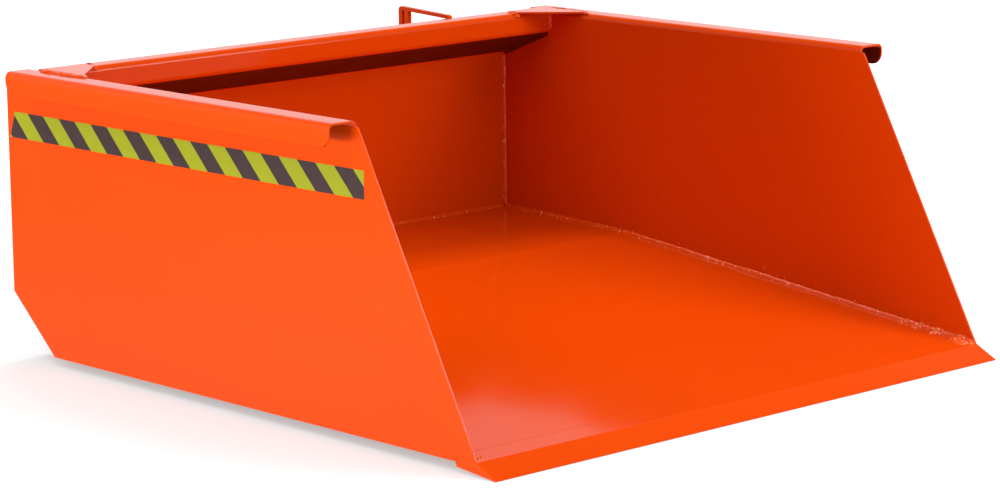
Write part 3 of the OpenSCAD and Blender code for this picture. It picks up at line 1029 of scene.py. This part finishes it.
    def carrier(self) -> list[WeldBead]:
        """The seams of the fork carrier.

        Returns:
            The beads.
        """
        pocket_low, pocket_high = corners("fork_pocket_right")
        ears_low, ears_high = corners("hinge_ears_right")
        beads: list[WeldBead] = []
        for side in (-1, 1):
            inner, wall = side * pocket_low.x, side * pocket_high.x
            out, inward = (side, 0, 0), (-side, 0, 0)
            for tube in ("rear_tie_tube", "front_tie_tube"):
                low, high = corners(tube)
                for first, last, way in (
                    ((low.y, high.z), (high.y, high.z), UP),
                    ((low.y, low.z), (high.y, low.z), DOWN),
                    ((low.y, low.z), (low.y, high.z), FRONT),
                    ((high.y, low.z), (high.y, high.z), BACK),
                ):
                    beads.append(WeldBead((inner, *first), (inner, *last), inward, way, 4.5 * MM))
            low, high = corners("support_beam")
            from_x, to_x = inner + side * 2 * MM, wall - side * 2 * MM
            for y, way in ((low.y, FRONT), (high.y, BACK)):
                beads.append(WeldBead((from_x, y, low.z), (to_x, y, low.z), way, UP, 5 * MM))
            rear, front = ears_high.y + 0.5 * MM, pocket_low.y + 2.5 * MM
            for z, way in ((ears_high.z, UP), (ears_low.z, DOWN)):
                beads.append(WeldBead((wall, rear, z), (wall, front, z), out, way, 1.8 * MM))
            foot = (wall, ears_high.y, ears_low.z + 2 * MM)
            top = (wall, ears_high.y, ears_high.z - 2 * MM)
            beads.append(WeldBead(foot, top, out, BACK, 4.5 * MM))
        return beads + self.post()

    @staticmethod
    def post() -> list[WeldBead]:
        """The seams of the latch post and its foot.

        Returns:
            The beads.
        """
        low, high = corners("post_foot")
        rear = high.y - 1 * MM
        corner = tuple(low)
        beads = [
            WeldBead(corner, (low.x, rear, low.z), LEFT, UP, 6 * MM),
            WeldBead(corner, (high.x - 1 * MM, low.y, low.z), FRONT, UP, 6 * MM),
        ]
        low, high = corners("latch_post")
        front = low.y + 0.5 * MM
        for x, way in ((low.x, LEFT), (high.x, RIGHT)):
            beads.append(WeldBead((x, front, low.z), (x, rear, low.z), way, UP, 5 * MM))
        return beads

    def latch(self) -> list[WeldBead]:
        """The seams of the latch's ears, on the roof.

        Returns:
            The beads.
        """
        low, high = corners("latch_pivot_ears")
        foot = low.z + 0.3 * MM
        top = foot + self.ear_rise
        square = (0, self.roof_slope, 1)
        return [
            WeldBead((x, high.y, foot), (x, low.y, top), way, square, 3.5 * MM)
            for x, way in ((low.x, LEFT), (high.x, RIGHT))
        ]

    def build(self, shop: Workshop) -> None:
        """Builds the beads of each kind as one piece.

        Args:
            shop: The workshop.
        """
        paints = shop.paints
        scoop = self.scoop() + self.gussets() + self.underside() + self.latch()
        groups = (
            ("scoop_welds", Body.BUCKET, scoop, paints.bead_coat),
            ("seam_crust", Body.BUCKET, self.crust(), paints.crust_coat),
            # the beads under the nose get the near-black paint of the painted shade
            ("roof_welds", Body.BUCKET, self.roof(), paints.recess_shade_coat),
            ("carrier_welds", Body.CARRIER, self.carrier(), paints.bead_coat),
        )
        for name, body, beads, coat in groups:
            mesh = bmesh.new()
            for bead in beads:
                bead.lay(mesh)
            piece = shop.finish_piece(name, mesh, body, Slot.PAINT, smooth_to=75.0)
            piece.data.materials[0] = coat
        self.spatter(shop)

    def spatter(self, shop: Workshop) -> None:
        """Small painted-over drops beside the floor's side seams, in fixed uneven steps.

        Args:
            shop: The workshop.
        """
        step_y, step_off, step_size = 0.618034, 0.7548, 0.5698
        reach = 0.62
        mesh = bmesh.new()
        for side in (-1, 1):
            for i in range(self.spatter_a_side):
                y = reach - 2 * reach * ((i * step_y) % 1.0)
                off = 6 * MM + 14 * MM * ((i * step_off) % 1.0) ** 2
                size = 0.6 * MM + 1.4 * MM * ((i * step_size) % 1.0) ** 3
                on_wall = i % 2 == 0
                x = side * (self.inner_x - (0.0 if on_wall else off))
                z = self.floor_z(y) + (off if on_wall else 0.0)
                bmesh.ops.create_icosphere(
                    mesh, subdivisions=1, radius=size, matrix=Matrix.Translation((x, y, z))
                )
        piece = shop.finish_piece("weld_spatter", mesh, Body.BUCKET, Slot.PAINT, smooth_to=80.0)
        piece.data.materials[0] = shop.paints.crust_coat


# ---------------- sub-assemblies


def pair(kind: str) -> tuple[str, str]:
    """The frame's left and right node of a kind."""
    return kind + "_left", kind + "_right"


@dataclass
class Scoop:
    """The folded and welded scoop with its blade, gussets and tape.

    channel is how far down from the rim the painted shade can reach.
    """

    sheets: tuple[str, ...] = (*pair("side_plate"), "rear_wall", "floor_sheet")
    plates: tuple[str, ...] = (
        *pair("gusset"),
        *pair("runner_rib"),
        *pair("hinge_lug"),
        "latch_pivot_ears",
        "spring_seat",
    )
    channel: float = 110.0 * MM

    def build(self, shop: Workshop) -> None:
        """Dresses the scoop's plates and coats its tape."""
        for node in self.sheets:
            piece = shop.dress_node(node, Body.BUCKET, Slot.PAINT, 0.7 * MM)
            self.paint_recess_shade(piece, shop.paints)
        shop.dress_node("blade", Body.BUCKET, Slot.PAINT, 0.6 * MM, crease=14.0)
        for node in self.plates:
            shop.dress_node(node, Body.BUCKET, Slot.PAINT, 0.8 * MM)
        for node in pair("warning_tape"):
            shop.paints.coat(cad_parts[node], Slot.TAPE)
        for node in pair("hinge_bush"):
            shop.dress_node(node, Body.BUCKET, Slot.BRONZE, 0.5 * MM)
        shop.dress_node("latch_pivot_pin", Body.BUCKET, Slot.ZINC, 0.6 * MM)

    def paint_recess_shade(self, piece: Object, paints: PaintShop) -> None:
        """Paints shade on the faces under the nose and in the rim channels: they get a near-black,
        dull paint in place of the orange.

        Args:
            piece: A dressed sheet.
            paints: The paint shop.
        """
        piece.data.materials.append(paints.recess_shade_coat)
        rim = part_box("side_plate_left")[1].z
        outer_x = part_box("warning_tape_right")[0].x + 2 * MM
        for face in piece.data.polygons:
            way, place = face.normal, face.center
            if place.z < rim - self.channel:
                continue
            faces_down = way.z < -0.8
            under = faces_down and (place.z > rim - self.channel / 2 or way.y < -0.2)
            faces_in = way.x * math.copysign(1.0, place.x) < -0.8
            # these faces, where shade falls, get the near-black paint: painted shade
            if under or (faces_in and abs(place.x) > outer_x):
                face.material_index = 1


@dataclass
class ForkCarrier:
    """The fork pockets, their tie tubes, the support beam and its pads."""

    tubes: tuple[str, ...] = (
        *pair("fork_pocket"),
        "front_tie_tube",
        "rear_tie_tube",
        "support_beam",
    )
    plates: tuple[str, ...] = (*pair("hinge_ears"), "latch_post", "post_foot")
    metal: tuple[str, ...] = (*pair("hinge_pin"), "keeper_bolts", "catch_bar", "clamp_nuts")

    def build(self, shop: Workshop) -> None:
        """Dresses the carrier's pieces."""
        for nodes, slot, width in (
            (self.tubes, Slot.PAINT, 3.0 * MM),
            (self.plates, Slot.PAINT, 0.9 * MM),
            (self.metal, Slot.ZINC, 0.8 * MM),
            (("rest_pads",), Slot.RUBBER, 2.0 * MM),
        ):
            for node in nodes:
                shop.dress_node(node, Body.CARRIER, slot, width)


@dataclass
class ReleaseLatch:
    """The hook plate with its handle and its spring.

    bar is the thickness of the handle's legs and leg_pitch the distance from one leg's rear to
    the other's; leg_growth is how far each leg grows towards the other.
    """

    bar: float = 8.0 * MM
    leg_pitch: float = 22.0 * MM
    leg_growth: float = 3.2 * MM
    wire: float = 2.5 * MM
    turns: int = 4
    steps_a_turn: int = 28

    def build(self, shop: Workshop) -> None:
        """Dresses the lever and winds the spring."""
        shop.dress_node("hook_plate", Body.LATCH, Slot.PAINT, 0.8 * MM)
        self.dress_handle(shop)
        self.wind_spring(shop)

    def dress_handle(self, shop: Workshop) -> None:
        """Dresses the handle, with its two legs as wide as the bar that they are bent from.

        Args:
            shop: The workshop.
        """
        node = "latch_handle"
        mesh = shop.copy_node(node)
        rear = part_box(node)[1].y
        for vert in mesh.verts:
            depth = rear - vert.co.y
            if abs(depth - self.bar) < 0.4 * MM:
                vert.co.y -= self.leg_growth
            elif abs(depth - self.leg_pitch) < 0.4 * MM:
                vert.co.y += self.leg_growth
        shop.soften(mesh, 0.9 * MM)
        shop.finish_piece(node + "_dressed", mesh, Body.LATCH, Slot.PAINT, (node,))

    def wind_spring(self, shop: Workshop) -> None:
        """Winds the spring as one round wire, its foot on the bucket and its head on the lever.

        Args:
            shop: The workshop.
        """
        low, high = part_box("latch_spring")
        mesh = bmesh.new()
        radius = (high.x - low.x - self.wire) / 2
        steps = self.turns * self.steps_a_turn
        upright = Matrix.Rotation(math.pi / 2, 4, "X")
        ring = bmesh.ops.create_circle(
            mesh,
            cap_ends=False,
            segments=12,
            radius=self.wire / 2 * 0.98,
            matrix=Matrix.Translation((radius, 0, self.wire / 2)) @ upright,
        )
        rise = (0, 0, (high.z - low.z - self.wire) / steps)
        sweep(mesh, ring["verts"] + list(mesh.edges), steps, rise, math.tau * self.turns)
        bmesh.ops.holes_fill(mesh, edges=mesh.edges, sides=14)
        bmesh.ops.recalc_face_normals(mesh, faces=mesh.faces)
        middle = (low + high) / 2
        bmesh.ops.translate(mesh, verts=mesh.verts, vec=(middle.x, middle.y, low.z))
        spring = shop.finish_piece(
            "latch_spring_wound", mesh, None, Slot.ZINC, ("latch_spring",), smooth_to=60.0
        )
        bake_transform(spring)


@dataclass
class ForkClamp:
    """One clamp screw with its tommy bar."""

    side: int
    body: Body
    screw_r: float = 8.0 * MM
    root_r: float = 6.9 * MM
    pitch: float = 2.0 * MM
    tip_r: float = 6.2 * MM
    tip_h: float = 1.6 * MM
    head_half: float = 8.8 * MM
    sides: int = 32
    rows_a_pitch: int = 6

    def build(self, shop: Workshop) -> None:
        """Builds the threaded screw and its bar.

        Args:
            shop: The workshop.
        """
        word = "left" if self.side < 0 else "right"
        node = f"clamp_screw_{word}"
        low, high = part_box(node)
        middle = (low + high) / 2
        out = Vector((self.side, 0, 0))
        tip = Vector((low.x if self.side > 0 else high.x, middle.y, middle.z))
        length = high.x - low.x - self.head_half
        mesh = bmesh.new()
        self.thread(mesh, length, place_along(tip, out))
        radius = (high.z - low.z) / 2
        cap = ((radius, 0.0), (2.2 * MM, 0.0), (0.5 * MM, 0.6 * MM), (0.0, 2.2 * MM))
        head = place_along(tip + out * length, out)
        capped_rod(mesh, radius, (-self.head_half, self.head_half), cap, head)
        shop.finish_piece(node + "_threaded", mesh, self.body, Slot.ZINC, (node,))
        node = f"tommy_bar_{word}"
        low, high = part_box(node)
        middle = (low + high) / 2
        bar = bmesh.new()
        radius = (high.x - low.x) / 2
        cap = (
            (radius, 0.0),
            (radius * 0.4, 0.3 * MM),
            (radius * 0.1, 1.4 * MM),
            (0.0, 3.5 * MM),
        )
        place = place_along(Vector((middle.x, middle.y, low.z)), Vector(UP))
        capped_rod(bar, radius, (0.0, high.z - low.z), cap, place, 24)
        shop.finish_piece(node + "_turned", bar, self.body, Slot.ZINC, (node,))

    def thread(self, mesh: BMesh, length: float, place: Matrix) -> None:
        """Cuts a thread on a rod along local Z and adds it to a mesh.

        Args:
            mesh: The mesh that gets the rod.
            length: The rod's length.
            place: Where local space lies.
        """
        made = bmesh.new()
        ring = bmesh.ops.create_circle(
            made, cap_ends=False, segments=self.sides, radius=self.screw_r
        )
        rows = round(length / self.pitch * self.rows_a_pitch)
        sweep(made, ring["verts"] + list(made.edges), rows, (0, 0, length / rows))
        for vert in made.verts:
            turn = math.atan2(vert.co.y, vert.co.x) / math.tau
            wave = abs(((vert.co.z / self.pitch - turn) % 1.0) * 2.0 - 1.0)
            cut = min(1.0, max(0.0, (wave - 0.12) / 0.76))
            radius = self.screw_r + (self.root_r - self.screw_r) * cut
            if vert.co.z < self.tip_h:
                radius = min(radius, self.tip_r + vert.co.z)
            vert.co.x, vert.co.y = Vector((vert.co.x, vert.co.y)).normalized() * radius
        bmesh.ops.holes_fill(made, edges=made.edges, sides=self.sides + 2)
        add_mesh(mesh, made, place)


# ---------------- studio


@dataclass(frozen=True)
class Lamp:
    """A soft area lamp that faces a point; its power is in watts."""

    name: str
    place: Point
    aim: Point
    size: tuple[float, float]
    power: float

    def hang(self) -> None:
        """Adds the lamp to the scene."""
        data = bpy.data.lights.new(self.name, "AREA")
        data.shape = "RECTANGLE"
        data.size, data.size_y = self.size
        data.energy = self.power
        way = Vector(self.aim) - Vector(self.place)
        turn = way.to_track_quat("-Z", "Y").to_matrix().to_4x4()
        show(self.name, data).matrix_world = Matrix.Translation(self.place) @ turn


@dataclass
class Studio:
    """Camera, floor, lamps and world.

    The world's heights are those of the view direction: white up to horizon_to, then middle, and
    top above dome_from, where the dome lights the part. painted_contact_shade is where the floor's
    glow starts and is whole; the glow is cut under the bucket as a painted contact shadow.
    floor_shown is what gloss sees of the floor over shown_y.
    """

    eye: Point = (-4.44196, -4.8684, 1.46624)
    azimuth: float = 42.6386
    down: float = 10.7378
    roll: float = -0.6653
    focal_px: float = 3508.6
    frame_px: float = 1000.0
    sensor: float = 36.0
    horizon_to: float = 0.2
    middle: float = 0.75
    top: float = 0.05
    dome_from: float = 0.57
    dome: float = 1.12
    floor_half: float = 14.0
    floor_shade: Colour = (0.5, 0.53, 0.535, 1)
    floor_glow: float = 0.5
    glow_rise: tuple[float, float] = (1.0, 3.0)
    floor_shown: tuple[float, float] = (0.8, 0.36)
    shown_y: tuple[float, float] = (0.2, 1.9)
    # painted contact shadow: where the floor's glow fades out under the bucket
    painted_contact_shade: tuple[float, float] = (0.5, 0.64)
    lamps: tuple[Lamp, ...] = (
        Lamp("left_key", (-4.2, 0.0, 0.33), (-0.6, -0.1, 0.36), (2.6, 0.5), 124),
        Lamp("left_front", (-3.9, -1.9, 0.33), (-0.6, -0.3, 0.3), (1.5, 0.5), 9),
        Lamp("back_top", (0.6, 1.5, 3.7), (0.2, -0.4, 0.0), (1.3, 0.9), 46),
        Lamp("left_top", (-1.8, -0.25, 1.9), (-0.65, -0.25, 0.1), (2.4, 0.7), 6),
        Lamp("front_low", (0.2, -4.4, 0.8), (0, 0, 0.2), (1.8, 0.9), 27),
        Lamp("front_right", (2.05, -3.15, 2.0), (-0.4, -0.5, 0.3), (1.7, 1.7), 76),
    )

    def set_camera(self) -> None:
        """Places the camera at the photograph's angle."""
        a, b, c = (math.radians(v) for v in (self.azimuth, self.down, self.roll))
        ahead = Vector((math.sin(a) * math.cos(b), math.cos(a) * math.cos(b), -math.sin(b)))
        right = Vector((math.cos(a), -math.sin(a), 0.0))
        up = right.cross(ahead)
        right_rolled = right * math.cos(c) + up * math.sin(c)
        up_rolled = up * math.cos(c) - right * math.sin(c)
        data = bpy.data.cameras.new("photo_camera")
        data.sensor_fit = "HORIZONTAL"
        data.sensor_width = self.sensor
        data.lens = self.focal_px / self.frame_px * self.sensor
        data.clip_end = 100.0
        camera = show("photo_camera", data)
        turn = Matrix((right_rolled, up_rolled, -ahead)).transposed().to_4x4()
        camera.matrix_world = Matrix.Translation(self.eye) @ turn
        bpy.context.scene.camera = camera

    def set_world(self) -> None:
        """Makes a world whose dome lights the part and whose white horizon is what gloss shows."""
        world = bpy.data.worlds.new("studio")
        bpy.context.scene.world = world
        world.use_nodes = True
        world.node_tree.nodes.clear()
        g = Graph(world.node_tree)
        way = g.add("TexCoord").outputs["Generated"]
        height = g.add("SeparateXYZ", {0: way}).outputs["Z"]
        edge, soft, wide = self.dome_from - 0.04, self.dome_from + 0.04, self.dome_from + 0.1
        white_to = self.horizon_to, self.horizon_to + 0.1
        horizon = g.span(height, white_to, (1.0 - self.middle, 0.0), smooth=True)
        middle = g.span(height, (edge, wide), (self.middle, self.top), smooth=True)
        dome = g.span(height, (edge, soft), (0.0, self.dome), smooth=True)
        level = g.add(
            "Mix",
            {
                "Factor": g.add("LightPath").outputs["Is Diffuse Ray"],
                g.VALUE_A: g.calc("ADD", horizon, middle),
                g.VALUE_B: dome,
            },
        )
        sky = g.add("Background", {"Color": (1, 1, 1, 1), "Strength": level.outputs[0]})
        g.add("OutputWorld", {"Surface": sky.outputs[0]})

    def set_floor(self) -> None:
        """Lays a pale floor that keeps the bucket's shadow and runs out to white."""
        mesh = bmesh.new()
        below = Matrix.Translation((0, 0, -0.6 * MM))
        bmesh.ops.create_grid(
            mesh, x_segments=1, y_segments=1, size=self.floor_half, matrix=below
        )
        floor = show_mesh("studio_floor", mesh)
        floor.data.materials.append(self.floor_material())

    def floor_material(self) -> Material:
        """The floor's material, by the kind of ray that sees it.

        Returns:
            The material: shadowed and glowing for the camera, with the glow cut under the bucket as
                a
            painted contact shadow, a plain glow for gloss, and matt for the rest.
        """
        material = bpy.data.materials.new("studio_white")
        material.use_nodes = True
        material.node_tree.nodes.clear()
        g = Graph(material.node_tree)
        place = g.place()
        far = g.add("VectorMath", {0: place}, operation="LENGTH").outputs["Value"]
        lift = g.span(far, self.glow_rise, (self.floor_glow, 1.0), smooth=True)
        split = g.add("SeparateXYZ", {0: place}).outputs
        # painted contact shadow: the camera's glow fades out under the bucket's footprint, darker
        # than the floor's real shadow
        off = g.calc("MAXIMUM", g.calc("ABSOLUTE", split["X"]), g.calc("ABSOLUTE", split["Y"]))
        close = g.span(off, self.painted_contact_shade, smooth=True)
        glow = g.add(
            "Emission", {"Color": (1, 1, 1, 1), "Strength": g.calc("MULTIPLY", lift, close)}
        )
        shade = g.add("BsdfDiffuse", {"Color": self.floor_shade})
        both = g.add("AddShader", {0: shade.outputs[0], 1: glow.outputs[0]})
        matt = g.add("BsdfDiffuse", {"Color": (0.8, 0.8, 0.8, 1)})
        path = g.add("LightPath").outputs
        lit = g.add(
            "MixShader", {0: path["Is Camera Ray"], 1: matt.outputs[0], 2: both.outputs[0]}
        )
        shown = g.add("Emission", {"Strength": g.span(split["Y"], self.shown_y, self.floor_shown)})
        mirrored = g.calc("MAXIMUM", path["Is Glossy Ray"], path["Is Transmission Ray"])
        choose = g.add("MixShader", {0: mirrored, 1: lit.outputs[0], 2: shown.outputs[0]})
        g.add("OutputMaterial", {"Surface": choose.outputs[0]})
        return material

    def build(self) -> None:
        """Sets up the whole studio."""
        self.set_camera()
        for lamp in self.lamps:
            lamp.hang()
        self.set_world()
        self.set_floor()
        bpy.context.scene.view_settings.view_transform = "Standard"


def main() -> None:
    """Builds the studio and every sub-assembly in order."""
    logging.basicConfig(level=logging.INFO, format="%(message)s")
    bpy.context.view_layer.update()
    Studio().build()
    paints = PaintShop()
    paints.open()
    shop = Workshop(paints)
    Scoop().build(shop)
    ForkCarrier().build(shop)
    ReleaseLatch().build(shop)
    ForkClamp(-1, Body.CLAMP_LEFT).build(shop)
    ForkClamp(1, Body.CLAMP_RIGHT).build(shop)
    WeldSeams().build(shop)


if __name__ == "__main__":
    main()
